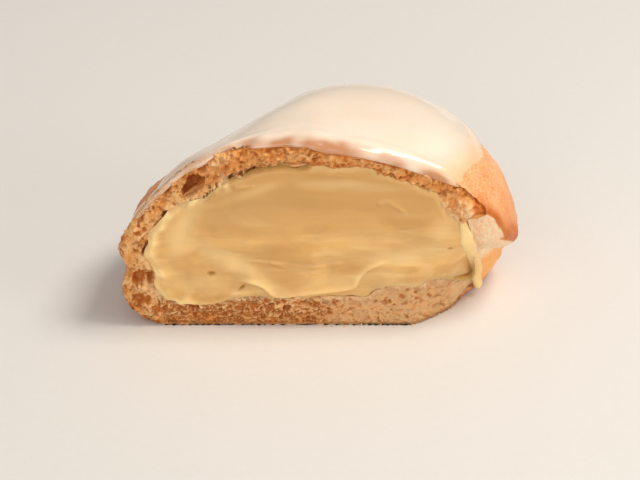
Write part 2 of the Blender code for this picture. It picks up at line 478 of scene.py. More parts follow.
def spot_share(across, height, shape, softness, wobble=0.0):
    """1 in the middle of an oval given in mm and degrees, 0 outside it, with a soft side."""
    middle_x, middle_z, length, width, tilt = shape[:5]
    turn = math.radians(tilt)
    right = across / MM - middle_x
    up = height / MM - middle_z
    along = (right * math.cos(turn) + up * math.sin(turn)) / length
    aside = (up * math.cos(turn) - right * math.sin(turn)) / width
    return ease((1.0 + 0.5 * softness - np.hypot(along, aside) - wobble) / softness)


def deepest(shapes, across, height, softness, wobble=0.0):
    """The depth or height of the strongest oval here. An oval's last number is its own, in mm."""
    spots = [shape[5] * spot_share(across, height, shape, softness, wobble) for shape in shapes]
    return MM * np.max(spots, axis=0)


def spread_out(found, index, count):
    """What was found for some of the points, from 0 to 1, as a value for every point of the piece."""
    painted = {}
    for name, values in found.items():
        painted[name] = np.zeros(count)
        painted[name][index] = np.clip(values, 0.0, 1.0)
    return painted


def paint(mesh, name, values):
    """Stores one number for each point, for the material to read."""
    layer = mesh.attributes.new(name, "FLOAT", "POINT")
    layer.data.foreach_set("value", np.asarray(values, np.float32))


def speckle(places, size, stretch=(1.0, 1.0, 1.0), layer=0.0):
    """Smooth noise from -1 to 1 at each place, with features of this size."""
    spots = places / (size * np.array(stretch)) + layer
    return np.array([noise.noise(spot) for spot in spots.tolist()])


def rough(places, layers):
    """Noise in layers, each given as its strength, size in mm, stretch across and number."""
    total = 0.0
    for strength, size, stretch, layer in layers:
        total = total + strength * speckle(places, size * MM, (stretch, 1.0, 1.0), layer)
    return total


# Bubbles: the share of a wall that stays closed, how softly it opens, and how much alike the bubbles open.
WALL_SHARE = 0.06
WALL_SOFTNESS = 0.24
OPENING_SPREAD = 0.3


def foam(across, height, size, flatness, closed, layer):
    """How open the crumb is: 0 in the walls and in the closed bubbles, up to 1 inside the open ones."""
    spots = np.stack([across / (size * flatness), height / size, np.full(len(across), layer)], axis=-1)
    walls = []
    sizes = []
    for spot in spots.tolist():
        distances, centres = noise.voronoi(spot)
        walls.append(distances[1] - distances[0])
        sizes.append(abs(noise.cell(centres[0] * 7.31)))
    opened = ease((np.array(sizes) - closed) / OPENING_SPREAD)
    return ease((np.array(walls) - WALL_SHARE) / WALL_SOFTNESS) * opened


# ---------------------------------------------------------------- materials


class Finish:
    """A material under construction, with short ways to add and join its nodes."""

    def __init__(self, name):
        self.material = bpy.data.materials.new(name)
        self.material.use_nodes = True
        self.tree = self.material.node_tree
        self.shader = self.tree.nodes["Principled BSDF"]
        self.place = self.add("ShaderNodeTexCoord").outputs["Object"]

    def add(self, kind, **settings):
        """A new node of this kind."""
        node = self.tree.nodes.new(kind)
        for name, value in settings.items():
            setattr(node, name, value)
        return node

    def put(self, socket, value):
        """Joins another node's output to the socket, or sets it to a number or a colour."""
        if isinstance(value, bpy.types.NodeSocket):
            self.tree.links.new(value, socket)
        elif socket.type == "RGBA":
            socket.default_value = (*value, 1.0)
        else:
            socket.default_value = value

    def set(self, name, value):
        """Sets one of the shader's inputs, or joins a node to it."""
        self.put(self.shader.inputs[name], value)

    def painted(self, *names):
        """The numbers that are painted on the piece under these names."""
        return [self.add("ShaderNodeAttribute", attribute_name=name).outputs["Fac"] for name in names]

    def grain(self, size, detail=2.0, stretch=(1.0, 1.0, 1.0), distortion=0.0):
        """Noise from 0 to 1 with features of this size."""
        mapping = self.add("ShaderNodeMapping")
        self.put(mapping.inputs["Vector"], self.place)
        mapping.inputs["Scale"].default_value = [1.0 / (size * by) for by in stretch]
        texture = self.add("ShaderNodeTexNoise")
        self.put(texture.inputs["Vector"], mapping.outputs["Vector"])
        texture.inputs["Scale"].default_value = 1.0
        texture.inputs["Detail"].default_value = detail
        texture.inputs["Distortion"].default_value = distortion
        return texture.outputs["Fac"]

    def between(self, value, low, high, most=1.0):
        """0 where the value is low and the most where it is high, with a smooth step."""
        node = self.add("ShaderNodeMapRange", interpolation_type="SMOOTHSTEP")
        self.put(node.inputs["Value"], value)
        node.inputs["From Min"].default_value = low
        node.inputs["From Max"].default_value = high
        node.inputs["To Max"].default_value = most
        return node.outputs["Result"]

    def spread(self, value, low, high):
        """The value from 0 to 1 stretched between low and high."""
        node = self.add("ShaderNodeMapRange")
        self.put(node.inputs["Value"], value)
        node.inputs["To Min"].default_value = low
        node.inputs["To Max"].default_value = high
        return node.outputs["Result"]

    def sum(self, first, second):
        """Both values added."""
        node = self.add("ShaderNodeMath", operation="ADD")
        self.put(node.inputs[0], first)
        self.put(node.inputs[1], second)
        return node.outputs["Value"]

    def mix(self, share, first, second):
        """The first colour where the share is 0, the second where it is 1."""
        node = self.add("ShaderNodeMix", data_type="RGBA")
        self.put(node.inputs[0], share)
        self.put(node.inputs[6], first)
        self.put(node.inputs[7], second)
        return node.outputs[2]

    def bump(self, height, strength, distance):
        """Fine relief in the light only."""
        node = self.add("ShaderNodeBump")
        self.put(node.inputs["Height"], height)
        node.inputs["Strength"].default_value = strength
        node.inputs["Distance"].default_value = distance
        self.tree.links.new(node.outputs["Normal"], self.shader.inputs["Normal"])

    def soft(self, weight, radius, scale):
        """Light that goes in and comes out a little further on."""
        self.shader.inputs["Subsurface Weight"].default_value = weight
        self.shader.inputs["Subsurface Radius"].default_value = radius
        self.shader.inputs["Subsurface Scale"].default_value = scale


def choux_finish(colours):
    """Baked skin, the pale burst and the crumb, each where it is painted on the choux, with painted shade in
    the crumb's hollows and painted light on its tops.
    """
    finish = Finish("baked_choux")
    crumb, pit, toast, pale, fleck, damp = finish.painted("crumb", "pit", "toast", "pale", "fleck", "damp")
    patches = finish.grain(6.0 * MM, 5.0)
    flecks = finish.grain(0.7 * MM, 3.0)
    fine = finish.grain(0.32 * MM, 3.0)
    upright = finish.grain(0.7 * MM, 2.0, (1.0, 1.0, 4.5), 0.5)
    skin = finish.mix(finish.between(patches, 0.30, 0.80), colours.skin_light, colours.skin)
    # Pale specks: partly the skin's own grain, partly painted glints.
    skin = finish.mix(finish.between(flecks, 0.48, 0.62, 0.8), skin, colours.skin_pale)
    skin = finish.mix(finish.between(fine, 0.52, 0.40, 0.8), skin, colours.skin)
    skin = finish.mix(toast, skin, colours.skin_dark)
    burst = finish.mix(finish.between(upright, 0.42, 0.62), colours.burst, colours.burst_pink)
    burst = finish.mix(finish.between(toast, 0.1, 0.8), burst, colours.burst_low)
    skin = finish.mix(pale, skin, burst)
    inside = finish.mix(toast, colours.crumb, colours.crumb_toasted)
    inside = finish.mix(finish.between(fine, 0.48, 0.75, 0.6), inside, colours.crumb_fleck)
    inside = finish.mix(damp, inside, colours.crumb_damp)
    # Pale flecks, with painted light on the crumb's tops, lumps and cavity rims.
    inside = finish.mix(fleck, inside, colours.crumb_fleck)
    # Painted shade: the crumb darkens towards the pore colour in its pores, cavities and low crags, and
    # browns along the crust.
    inside = finish.mix(pit, inside, colours.pore_shade)
    finish.set("Base Color", finish.mix(crumb, skin, inside))
    finish.set("Roughness", finish.spread(finish.between(flecks, 0.35, 0.7), 0.32, 0.60))
    finish.set("Specular IOR Level", 0.38)
    finish.soft(0.18, (1.0, 0.42, 0.15), 0.6 * MM)
    rough = finish.sum(finish.grain(0.7 * MM, 4.0), finish.grain(1.6 * MM, 3.0))
    finish.bump(rough, 0.9, 0.4 * MM)
    return finish.material


def custard_finish(colours):
    """Moist custard with soft streaks, paler at its edges, with painted shade in its pits and crevice and
    towards its top, and painted light on the flap's bead, the ridge and low down.
    """
    finish = Finish("custard")
    edge, hole, moist, deep = finish.painted("edge", "hole", "moist", "deep")
    streaks = finish.grain(2.2 * MM, 2.0, (7.0, 1.0, 1.0), 0.6)
    clouds = finish.grain(8.0 * MM, 3.0, (1.8, 1.0, 1.0), 0.8)
    base = finish.mix(finish.between(clouds, 0.32, 0.70), colours.custard_deep_and_shade, colours.custard)
    base = finish.mix(finish.between(streaks, 0.45, 0.75, 0.36), base, colours.custard_light)
    # Painted shade towards the top of the custard.
    base = finish.mix(finish.spread(deep, 0.0, 0.9), base, colours.custard_deep_and_shade)
    base = finish.mix(moist, base, colours.custard_thin)
    # Paler edges, with a painted highlight on the flap's bead and the ridge and painted light low down.
    base = finish.mix(edge, base, colours.custard_light)
    # Painted shade in the pits and in the crevice under the crumb.
    base = finish.mix(hole, base, colours.custard_crease_shade)
    finish.set("Base Color", base)
    finish.set("Roughness", finish.spread(finish.grain(2.5 * MM, 2.0, (2.5, 1.0, 1.0)), 0.28, 0.44))
    finish.set("Specular IOR Level", 0.45)
    finish.soft(0.35, (1.0, 0.6, 0.22), 1.6 * MM)
    finish.bump(finish.sum(streaks, finish.grain(1.1 * MM, 2.0, (2.0, 1.0, 1.0))), 0.14, 0.1 * MM)
    return finish.material


def icing_finish(colours):
    """Glossy icing that lets the crust show where it is thin."""
    finish = Finish("poured_icing")
    film, thin, rim = finish.painted("film", "thin", "rim")
    clouds = finish.grain(9.0 * MM, 2.0)
    mottled = finish.grain(1.3 * MM, 4.0)
    base = finish.mix(finish.between(clouds, 0.35, 0.7), colours.icing, colours.icing_warm)
    crust = finish.mix(finish.between(mottled, 0.52, 0.80), colours.icing_thin, colours.icing_thinnest)
    base = finish.mix(film, base, crust)
    base = finish.mix(thin, base, colours.icing_faded)
    base = finish.mix(rim, base, colours.icing_rim)
    finish.set("Base Color", base)
    finish.set("Roughness", finish.spread(clouds, 0.14, 0.24))
    finish.set("Coat Weight", 0.4)
    finish.set("Coat Roughness", 0.06)
    finish.soft(0.45, (1.0, 0.72, 0.5), 2.0 * MM)
    finish.bump(finish.grain(3.0 * MM, 1.0), 0.12, 0.12 * MM)
    return finish.material


def crumb_finish(colours):
    """Dry, rough crumb."""
    finish = Finish("loose_crumb")
    grain = finish.grain(0.5 * MM, 3.0)
    finish.set("Base Color", finish.mix(grain, colours.crumb_fleck, colours.crumb))
    finish.set("Roughness", 0.7)
    finish.soft(0.2, (1.0, 0.45, 0.18), 0.6 * MM)
    finish.bump(grain, 0.5, 0.1 * MM)
    return finish.material


def floor_finish(colours):
    """Matt paper with faint fibres."""
    finish = Finish("studio_paper")
    fibres = finish.grain(2.0 * MM, 4.0)
    light = tuple(0.96 * part for part in colours.paper)
    finish.set("Base Color", finish.mix(fibres, light, tuple(colours.paper)))
    finish.set("Roughness", 0.85)
    finish.bump(fibres, 0.15, 0.1 * MM)
    return finish.material


# ---------------------------------------------------------------- pieces


def icing_edge(azimuth):
    """Lowest height of the icing in this direction."""
    wave = ICING_WAVE * np.sin(ICING_WAVES * azimuth + ICING_WAVE_TURN)
    return by_side(ICING_LOW, azimuth) + wave


def along_lip(azimuth, latitude):
    """Moves the rows of points in the burst so that one follows the lip, with others close to it."""
    lip = torn_lip(azimuth)
    full = by_side(FULLNESS, azimuth) + lean(FULLNESS_LEAN, azimuth)
    above = np.clip((lip - WIDEST_HEIGHT) / (SHELL_HEIGHT - WIDEST_HEIGHT), 0.0, 1.0) ** (full / 2.0)
    below = np.clip((WIDEST_HEIGHT - lip) / (BASE_DEPTH * WIDEST_HEIGHT), 0.0, 1.0)
    below = below ** (by_side(BASE_FULLNESS, azimuth) / 2.0)
    inside = ease(4.0 * burst_aside(azimuth))
    closer = 1.0 - LIP_CLOSENESS * inside * swell(latitude, 0.0, LIP_CROWDING)
    moved = inside * (np.arcsin(above) - np.arcsin(below)) * ease(1.0 - np.abs(latitude) / LIP_FOLLOWING)
    return latitude * closer + moved


# Layers of roughness: strength, size in mm, stretch across and the layer's number.
CRUST_BUMPS = ((1.0, 7.0, 1.0, 0.0), (0.45, 2.8, 1.0, 0.0))
CRUST_GRAIN = ((0.2, 1.5, 1.0, 5.0),)
TORN_EDGE = ((0.45, 2.2, 1.0, 7.0), (0.25, 1.0, 1.0, 9.0))
CRUMB_CRAGS = ((0.5, 2.6, 1.0, 1.0), (0.6, 1.3, 1.0, 0.0), (0.45, 0.7, 1.0, 4.0), (0.25, 0.42, 1.0, 14.0))
CUSTARD_WAVES = ((0.6, 10.0, 2.0, 0.0), (0.2, 3.2, 3.0, 3.0))
CUSTARD_LUMPS = ((0.2, 2.6, 1.0, 6.0),)
CUSTARD_RIPPLES = ((0.2, 1.0, 1.8, 9.0),)
ICING_UNDULATION = ((1.0, 6.5, 1.0, 2.0), (0.6, 2.8, 1.0, 6.0))


def choux_body(sizes):
    """The baked ball, before the cut, with its bumps and wrinkles."""
    ball, azimuth, latitude = ball_mesh(*CHOUX_BALL)
    places = form_points(azimuth, along_lip(azimuth, latitude))
    set_places(ball, places)
    height = places[:, 2]
    stands = past(height, 0.0, 1.5)
    over_edge = height - icing_edge(azimuth)
    bare = close_to(over_edge, 3.0) * stands
    torn = near_cut(places)
    lines = np.stack([azimuth * WRINKLES, height / WRINKLE_HEIGHT, np.full(len(azimuth), 3.0)], axis=-1)
    relief = sizes.crust_bumps * rough(places, CRUST_BUMPS)
    relief += sizes.crust_wrinkles * speckle(lines, 1.0) + MM * rough(places, CRUST_GRAIN)
    craggy = MM * rough(places, TORN_EDGE)
    behind = places[:, 1] - CUT_Y - cut_line(places[:, 0], height)
    covered = past(over_edge, 3.0, 4.0) * past(behind, 5.0, 4.0)
    facing = np.array([vertex.normal for vertex in ball.verts])
    relief = relief * bare * (1.0 - torn) + craggy * torn * stands - sizes.crust_sunk * covered
    places = places + facing * relief[:, None]
    places[:, 2] = np.maximum(places[:, 2], 0.0)
    set_places(ball, places)
    bmesh.ops.recalc_face_normals(ball, faces=ball.faces)
    return as_object(ball, "choux")


def near_cut(places):
    """1 on the skin next to the upper part of the cut, fading a few millimetres behind it."""
    behind = places[:, 1] - CUT_Y
    upper = past(places[:, 2], 24.0, 6.0) * short_of(places[:, 0], 31.0, 4.0)
    return short_of(behind, 6.0, 5.0) * upper


def lining_body(name, ball):
    """The form of the hollow, from a ball with these points."""
    ball, azimuth, latitude = ball_mesh(*ball)
    set_places(ball, form_points(azimuth, latitude, lining=True))
    bmesh.ops.recalc_face_normals(ball, faces=ball.faces)
    return as_object(ball, name)


def crumb_zones(across, height):
    """How much of each kind of crumb there is here: fine, smooth, toasted, right and open."""
    low = short_of(height, 12.0, 4.0)
    fine = low * short_of(across, 10.0, 22.0) * past(across, -40.0, 6.0)
    smooth = low * past(across, -12.0, 22.0) * (1.0 - fine / np.maximum(low, 0.001))
    toasted = past(height, 33.0, 5.0)
    right = (1.0 - low - toasted) * past(across, 0.0, 20.0)
    return fine, smooth, toasted, right, 1.0 - fine - smooth - toasted - right


# What each kind of crumb is like, in the order of the zones. Depth and crags are in mm. Contrast sets how
# strongly the tops are painted paler and the low crags darker, as painted light and shade.
CRUMB_KINDS = {
    "size": (0.85, 0.9, 0.9, 0.9, 1.1),
    "flatness": (2.0, 1.3, 1.4, 1.2, 1.0),
    "closed": (0.2, 0.66, 0.55, 0.7, 0.6),
    "depth": (0.9, 0.5, 0.6, 0.45, 0.75),
    "crags": (0.45, 0.3, 1.2, 1.0, 0.7),
    "contrast": (0.9, 0.35, 1.2, 1.2, 0.8),
    "patches": (0.75, 0.4, 0.8, 0.8, 1.5),
    "toast": (0.5, 0.15, 0.7, 0.75, 0.4),
    "shown": (1.0, 0.8, 0.65, 0.6, 0.7),
}

# Lumps that stand out from the crumb: across, up, half length, half width (mm), tilt in degrees, height (mm).
LUMPS = (
    (33.6, 30.8, 2.7, 1.8, 95.0, 1.9),
    (-24.0, 44.6, 3.4, 1.8, 10.0, 0.8),
    (-43.6, 24.8, 2.6, 1.6, 80.0, 0.9),
    (-42.6, 17.6, 2.4, 0.9, -12.0, 0.8),
    (-43.0, 10.0, 2.2, 0.8, -25.0, 0.9),
    (-41.0, 4.6, 3.0, 0.9, -35.0, 0.6),
)

# The crevice between the custard and the crumb over it: across and up, in mm.
CREVICE = ((-23.0, 39.0), (-19.0, 40.6), (-14.0, 42.2), (-9.0, 42.6), (-4.0, 42.5))
CREVICE_DEPTH = 1.5 * MM
CREVICE_WIDTH = 0.55 * MM

# Soft pulls of the rim between custard and crumb: across, up, to the right, upwards, reach, all in mm.
PULLS = (
    (-29.5, 37.6, 1.2, -3.0, 6.0),
    (-22.0, 41.2, 0.4, -2.0, 5.0),
    (12.0, 39.9, 0.2, 1.7, 8.0),
    (24.5, 34.3, 0.9, 1.2, 5.0),
    (29.8, 28.0, 0.6, 0.8, 3.5),
    (32.0, 23.5, 2.2, 0.8, 4.0),
    (33.8, 18.0, 2.2, 0.0, 4.5),
    (34.0, 12.0, 2.4, -3.5, 5.0),
    (-38.5, 12.2, 1.6, 0.0, 3.5),
    (-35.0, 7.9, -1.0, -1.4, 7.0),
    (-26.0, 7.9, 0.0, -1.0, 6.0),
)


def crevice_share(across, height, width):
    """1 along the crevice, fading over this width."""
    return swell(away_from_line(through(CREVICE), across, height), 0.0, width)


def crumb_relief(crumb, sizes):
    """Adds the bubbles, cavities and lumps to what is known of the crumb. Returns how far it stands out."""
    place, across, height, kind = crumb.place, crumb.across, crumb.height, crumb.kind
    bent_x = across + 0.9 * MM * speckle(place, 1.7 * MM, layer=20.0)
    bent_z = height + 0.6 * MM * speckle(place, 1.7 * MM, layer=30.0)
    size = sizes.bubbles * MM * kind["size"] * np.where(height < 4.0 * MM, 0.8, 1.0)
    large = foam(bent_x, bent_z, size, kind["flatness"], kind["closed"], 0.5)
    small = foam(bent_x, bent_z, 0.5 * size, kind["flatness"], kind["closed"], 9.5)
    crumb.bubbles = np.maximum(large, 0.6 * small)
    crumb.foamy = MM * kind["depth"] * past(crumb.from_skin, 0.0, 0.6) * crumb.bubbles
    wobble = 0.3 * speckle(place, 1.1 * MM)
    cavities = deepest(CAVITIES, across, height, 0.4, wobble)
    crevice = CREVICE_DEPTH * crevice_share(across, height, CREVICE_WIDTH)
    crumb.cavities = np.maximum(cavities, crevice)
    crumb.raised = deepest(LUMPS, across, height, 1.2, 0.7 * wobble)
    crags = rough(place, CRUMB_CRAGS)
    # How high the crags stand, for the painted light on the tops and the painted shade in the lows.
    crumb.level = crags * kind["contrast"]
    rounded = 0.9 * MM * close_to(crumb.from_skin, 1.3)
    return MM * kind["crags"] * crags + crumb.raised - np.maximum(crumb.foamy, crumb.cavities) - rounded


def crumb_paint(crumb):
    """Where the crumb is toasted, flecked or damp, where painted shade darkens its hollows and painted light
    brightens its tops, and where it is crumb and not skin.
    """
    place, across, height, kind = crumb.place, crumb.across, crumb.height, crumb.kind
    fine, smooth, right = crumb.zones[0], crumb.zones[1], crumb.zones[3]
    cavities, level, from_custard = crumb.cavities, crumb.level, crumb.from_custard
    crust = close_to(crumb.from_skin, 3.0) * past(height, 20.0, 6.0) * past(across, -26.0, 8.0)
    thin_wall = past(across, 29.0, 3.0) * short_of(height, 28.0, 3.0)
    baked = close_to(from_custard, 1.5) * past(height, 34.0, 4.0) * past(across, -10.0, 6.0)
    baked *= short_of(across, 24.0, 8.0)
    # Toasted in patches, more under the skin and hardly in the thin wall. Painted shade makes it darker in
    # the cavities and on the low crags, and painted light makes it paler on the tops.
    toast = kind["toast"] + kind["patches"] * speckle(place, 3.6 * MM, layer=2.0)
    toast += 0.9 * crust - 0.55 * level * (1.0 - smooth)
    toast = toast * (0.3 + 0.7 * past(from_custard, 0.0, 2.0)) + cavities / (1.5 * MM)
    toast = toast * (1.0 - thin_wall) + 0.9 * baked
    # Painted shade inside bubbles, cavities and the lowest crags, and darker low down in the fine crumb;
    # along the crust and under the icing it is real browning.
    recess = np.maximum(kind["shown"] * crumb.foamy / (0.42 * MM), cavities / (4.2 * MM))
    recess += 0.25 * fine * short_of(height, 6.0, 4.0) + 0.3 * crust - 0.9 * np.minimum(level + 0.4, 0.0)
    recess = recess * (1.0 - 0.8 * thin_wall) + 0.3 * baked
    # Paler on the tops, on the raised lumps and on the rims of the cavities as painted light; pale as the
    # crumb's own colour next to the custard, in the thin wall and between the bubbles of the fine crumb.
    fleck = 0.6 * level - 0.15 + 0.4 * crumb.raised / MM + 0.4 * close_to(from_custard, 1.6)
    fleck += 0.4 * thin_wall + 0.5 * swell(cavities, 0.4 * MM, 0.3 * MM) - 0.9 * baked
    fleck += 0.6 * fine * (1.0 - crumb.bubbles) * past(height, 1.5, 3.0)
    # Damp where custard soaks in.
    moist = close_to(from_custard, 2.2) * short_of(height, 14.0, 4.0)
    damp = 0.7 * moist + smooth * np.clip(0.85 + 0.9 * speckle(place, 1.4 * MM, layer=21.0), 0.2, 0.95)
    damp += 0.4 * right * short_of(height, 12.0, 6.0)
    # The painted pore shade and browning, weaker where custard soaks in.
    pit = np.clip(recess, 0.0, 1.0) * (1.0 - 0.8 * moist)
    # The end of the lip at the right is skin.
    inside = 1.0 - past(across, 34.8, 1.0) * past(height, 25.5, 2.0)
    return {"crumb": inside, "pit": pit, "toast": toast, "fleck": fleck, "damp": damp}


def carve_crumb(body, sizes):
    """Bubbles, cavities, lumps and a ragged rim on the cut of the choux."""
    cut, loops = cut_surface(body)
    index = np.array([vertex.index for vertex in cut])
    place = places_of(body)[index]
    from_skin, from_custard = (away_from([vertex.co for vertex in loop], place) for loop in loops[:2])
    inner_x, inner_z = pulled(place[:, 0], place[:, 2], PULLS)
    inner = past(from_skin, 0.0, 4.0) * close_to(from_custard, 9.0)
    across = place[:, 0] + (inner_x - place[:, 0]) * inner
    height = place[:, 2] + (inner_z - place[:, 2]) * inner
    place = np.stack([across, CUT_Y + cut_line(across, height), height], axis=-1)
    zones = crumb_zones(across + 5.0 * MM * speckle(place, 3.5 * MM, layer=60.0), height)
    kind = {what: sum(map(np.multiply, zones, shares)) for what, shares in CRUMB_KINDS.items()}
    crumb = SimpleNamespace(place=place, across=across, height=height, zones=zones, kind=kind)
    crumb.from_skin, crumb.from_custard = from_skin, from_custard
    place = place + cut_normals(across, height) * crumb_relief(crumb, sizes)[:, None]
    ragged = np.where(from_skin < ON_SKIN, speckle(place, 1.0 * MM, layer=8.0), 0.0) * past(height, 0.0, 1.5)
    ragged *= np.where(height < 26.0 * MM, 0.5 * MM, 0.2 * MM)
    outward = np.stack([across - AXIS_X, np.zeros(len(cut)), height - MIDDLE_HEIGHT], axis=-1)
    outward /= np.linalg.norm(outward, axis=-1, keepdims=True)
    place = place + outward * ragged[:, None]
    place[:, 2] = np.maximum(place[:, 2], 0.0)
    set_points(cut, place)
    crumb.place = place
    return spread_out(crumb_paint(crumb), index, len(body.verts))


def skin_paint(body, painted):
    """Browning of the baked skin, and where the pale burst shows."""
    place = places_of(body)
    height = place[:, 2]
    azimuth = np.arctan2(place[:, 1] - AXIS_Y, place[:, 0] - AXIS_X)
    above_lip = (height - torn_lip(azimuth)) / MM
    skin = 1.0 - painted["crumb"]
    burst = burst_aside(azimuth)
    pale = ease(0.1 - above_lip / 0.5) * ease(3.0 * burst)
    painted["pale"] = skin * pale * past(height, 0.0, 4.0)
    mottled = 0.8 + 0.5 * speckle(place, 3.0 * MM, layer=6.0)
    above = (1.0 - pale) * ease(above_lip / 0.5 + 1.0) * ease(2.5 * burst) * mottled
    brown = 0.1 + (0.75 * swell(above_lip, 1.0, 3.6) + 0.5 * short_of(height, 36.0, 16.0)) * above
    brown += 0.5 * short_of(height, 8.0, 8.0) + 0.8 * short_of(height, 13.0, 5.0) * ease(3.0 * burst)
    brown += by_side(SKIN_BROWNING, azimuth)
    painted["toast"] += skin * np.clip(brown, 0.0, 1.0)
    torn = skin * near_cut(place)
    painted["crumb"] += torn
    painted["toast"] += torn * (0.55 - painted["toast"])
    painted["fleck"] += torn * np.clip(0.5 + speckle(place, 1.2 * MM, layer=3.0), 0.0, 1.0)


def keep(body, piece, painted, finish):
    """Puts the shaped mesh, what is painted on it and its finish on the piece."""
    body.to_mesh(piece.data)
    body.free()
    for name, values in painted.items():
        paint(piece.data, name, values)
    piece.data.shade_smooth()
    piece.data.materials.clear()
    piece.data.materials.append(finish)


def make_choux(sizes, colours):
    """The baked ball with its hollow and the knife cut taken away."""
    knife = knife_body()
    hollow = lining_body("hollow", HOLLOW_BALL)
    choux = cut_from(choux_body(sizes), hollow, knife)
    throw_away(knife, hollow)
    body = bmesh.new()
    body.from_mesh(choux.data)
    painted = carve_crumb(body, sizes)
    skin_paint(body, painted)
    keep(body, choux, painted, choux_finish(colours))
    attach(choux, BODY)
    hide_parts("choux_shell")


# The rim of the flap and the ridges that the knife left, as corners across and up, in mm.
FLAP_RIM = (
    (-21.5, 12.2), (-17.0, 11.5), (-14.5, 10.4), (-12.0, 8.0), (-9.5, 7.6), (-3.0, 8.6),
    (4.5, 9.5), (8.0, 10.6), (9.2, 13.2), (11.6, 15.6), (16.5, 17.0),
)
STROKES = (
    ((13.4, 32.9), (15.2, 33.4), (16.9, 32.4), (18.8, 30.9)),
    ((-20.4, 37.2), (-16.6, 37.5)),
    ((-12.0, 17.4), (-6.0, 16.0), (4.0, 17.2)),
)
# Small pits: across, up, half length, half width (mm), tilt in degrees.
CUSTARD_PITS = (
    (-26.5, 14.3, 0.8, 0.5, 0.0),
    (-19.2, 10.6, 0.8, 0.3, 40.0),
    (30.0, 21.0, 0.5, 0.4, 0.0),
)
# Soft dents: across, up, half length, half width (mm), tilt in degrees, depth (mm).
DENTS = (
    (-27.0, 20.5, 4.5, 2.2, -35.0, 0.7),
    (-33.0, 26.0, 3.5, 2.0, 60.0, 0.5),
    (-18.0, 30.0, 9.0, 3.0, 10.0, 0.4),
    (14.0, 24.5, 12.0, 1.3, -3.0, 0.45),
    (6.0, 37.6, 8.0, 1.2, -4.0, 0.5),
    (20.0, 19.0, 9.0, 1.4, 4.0, 0.5),
)
# Paler smears: across, up, half length, half width (mm), tilt in degrees, strength.
SMEARS = (
    (-33.0, 27.0, 8.0, 2.6, 75.0, 0.5),
    (-21.0, 17.0, 8.0, 2.0, -30.0, 0.5),
    (-28.0, 12.0, 7.0, 2.0, 5.0, 0.35),
    (20.0, 19.5, 10.0, 1.8, 0.0, 0.45),
    (2.0, 12.5, 8.0, 1.6, 8.0, 0.35),
    (5.0, 37.8, 9.0, 1.0, -3.0, 0.35),
    (-16.0, 36.0, 7.0, 1.0, 20.0, 0.3),
    (28.0, 25.0, 4.0, 2.5, 60.0, 0.35),
)


def custard_flap(across, height):
    """How far the flap stands out, its bead from 0 to 1, and where the custard under it shows."""
    rim = through(FLAP_RIM)
    from_flap = away_from_line(rim, across, height)
    above = height > np.interp(across, rim[:, 0] * MM, rim[:, 1] * MM)
    ends = past(across, rim[0, 0], 5.0) * short_of(across, rim[-1, 0], 6.0)
    bead = np.where(above, swell(from_flap, 0.9 * MM, 0.8 * MM), 0.0) * ends
    lift = 0.9 * MM * past(from_flap, 0.0, 0.6) * close_to(from_flap, 12.0) + 0.2 * MM * bead
    sunk = -0.3 * MM * past(from_flap, 0.0, 0.7)
    return ends * np.where(above, lift, sunk), bead, np.where(above, 0.0, 0.5 * ends)


def pull_custard(body):
    """Moves the custard's rim with the crumb's, and less and less behind the cut. Returns across and up."""
    place = places_of(body)
    side_x, side_z = pulled(place[:, 0], place[:, 2], PULLS)
    share = close_to(place[:, 1] - CUT_Y - cut_line(place[:, 0], place[:, 2]), 9.0)
    moved = place.copy()
    moved[:, 0] += (side_x - place[:, 0]) * share
    moved[:, 2] += (side_z - place[:, 2]) * share
    set_points(body.verts, moved)
    return side_x, side_z


